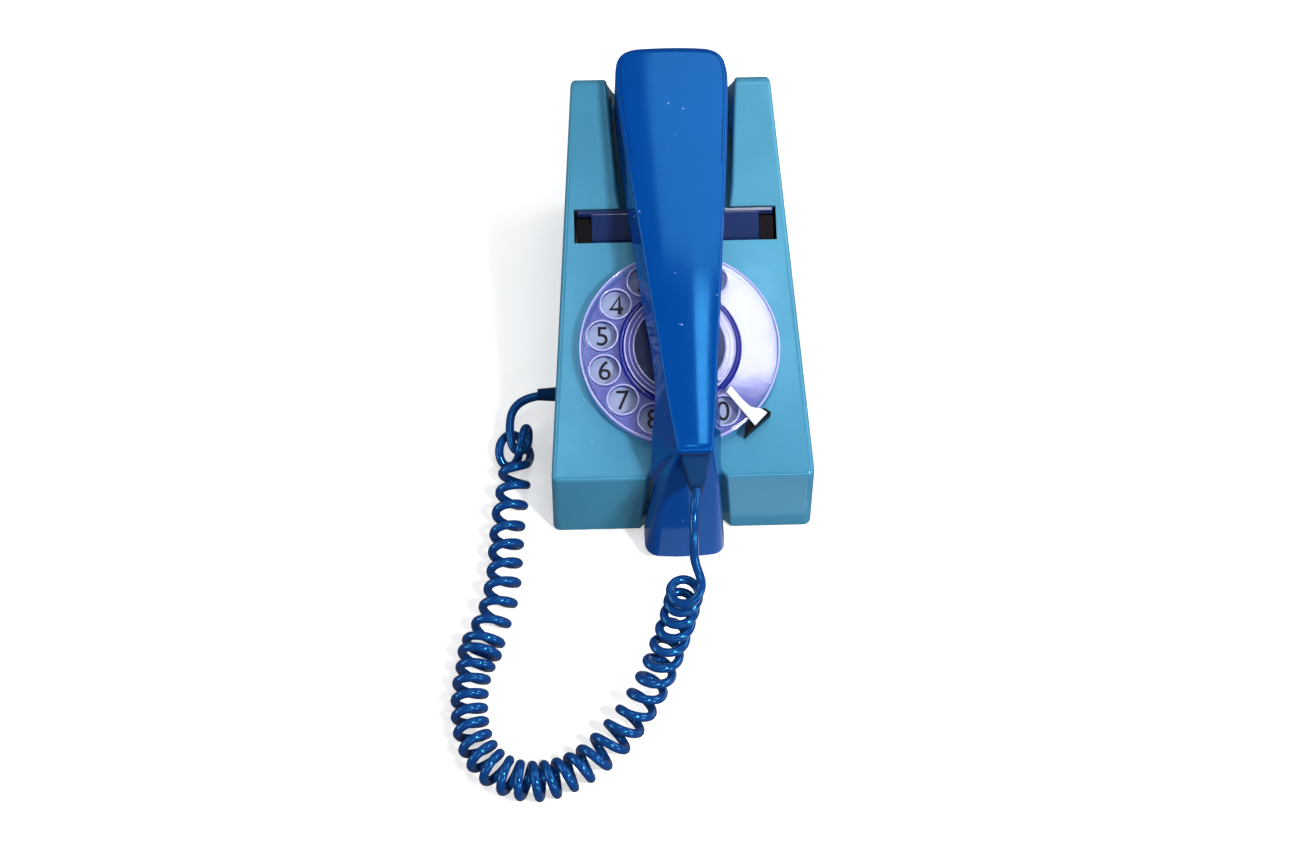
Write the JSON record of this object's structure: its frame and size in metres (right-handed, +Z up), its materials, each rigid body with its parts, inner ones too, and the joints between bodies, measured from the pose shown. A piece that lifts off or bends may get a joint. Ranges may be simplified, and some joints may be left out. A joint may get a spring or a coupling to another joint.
{
  "type": "rotary telephone",
  "caption": "Slim wedge-shaped rotary desk telephone with a clear finger wheel, a long handset lying front to back over the dial, and a curly handset cord.",
  "frame": {"origin": "middle of the telephone without its cord, on the surface that its feet stand on", "axes": "+Z up, -Y to the front where the mouthpiece hangs, +X to the right seen from the front"},
  "size_m": [0.1485, 0.2978, 0.1005],
  "materials": {
    "case_blue": "glossy moulded plastic, fine scuffs",
    "base_grey": "grey enamelled steel plate",
    "foot_rubber": "matt black rubber",
    "steel": "bright zinc plate",
    "black_plastic": "satin black moulding",
    "dial_grey": "pale lilac grey, printed digits",
    "clear_lilac": "clear lilac acrylic",
    "label_dark": "dark blue gloss disc",
    "brass": "turned brass",
    "chrome": "bright chrome",
    "smoke_blue": "smoked blue acrylic",
    "handset_blue": "glossy royal blue moulded plastic",
    "aluminium": "drawn can",
    "board_brown": "laminated board",
    "iron": "laminations and tape",
    "cord_blue": "semi gloss cord jacket"
  },
  "bodies": {
    "base": {"base_cord_boot": "cord_blue", "base_plate": "base_grey", "base_screws": "steel", "board_pillars": "steel", "capacitors": "aluminium", "case_shell": "case_blue", "circuit_board": "board_brown", "cord_coil": "cord_blue", "cord_tail_base": "cord_blue", "cord_tail_handset": "cord_blue", "cradle_brackets": "steel", "cradle_pins": "steel", "cradle_spring": "steel", "dial_bridge": "steel", "dial_frame": "steel", "dial_mainspring": "steel", "finger_stop": "chrome", "finger_stop_post": "black_plastic", "governor_cup": "brass", "hook_switch": "black_plastic", "line_cord_gland": "black_plastic", "mainspring_drum": "steel", "number_plate": "dial_grey", "pulse_contact_block": "black_plastic", "pulse_contacts": "brass", "rubber_feet": "foot_rubber", "sounder_clip": "steel", "speech_transformer": "iron", "terminal_block": "black_plastic", "tone_sounder": "black_plastic"},
    "dial": {"finger_wheel": "clear_lilac", "dial_centre_ring": "clear_lilac", "dial_centre_label": "label_dark", "dial_spindle": "steel", "dial_main_gear": "brass"},
    "governor": {"governor_pinion": "brass", "governor_shaft": "steel", "governor_weights": "brass", "governor_hub": "brass"},
    "cradle": {"cradle_bar": "smoke_blue", "cradle_levers": "black_plastic"},
    "handset": {"earpiece_cap": "handset_blue", "handset_cord_boot": "cord_blue", "handset_lower_shell": "handset_blue", "handset_screws": "steel", "handset_upper_shell": "handset_blue", "mouthpiece_grille": "handset_blue", "receiver_capsule": "aluminium", "receiver_clip_ring": "black_plastic", "transmitter_capsule": "aluminium", "transmitter_seat": "black_plastic"}
  },
  "joints": [
    {"name": "dial_turn", "type": "hinge", "parent": "base", "child": "dial", "pos_m": [0, -0.02582, 0.05269], "axis": [0, -0.2756, 0.9613], "range_deg": [-335, 0], "stiffness_Nm_per_rad": 0.02},
    {"name": "governor_spin", "type": "hinge", "parent": "base", "child": "governor", "pos_m": [-0.01973, -0.02996, 0.0411], "axis": [0, -0.2756, 0.9613], "range_deg": [-10, 1460]},
    {"name": "handset_lift", "type": "slide", "parent": "base", "child": "handset", "axis": [0, 0, 1], "range_m": [0, 0.08]},
    {"name": "cradle_rise", "type": "hinge", "parent": "base", "child": "cradle", "pos_m": [0, 0.05295, 0.068], "axis": [-1, 0, 0], "range_deg": [0, 8.05]}
  ],
  "couplings": [
    {"joint": "governor_spin", "follows": "dial_turn", "ratio": -4},
    {"joint": "cradle_rise", "follows": "handset_lift", "rad_per_m": 1.7453}
  ]
}
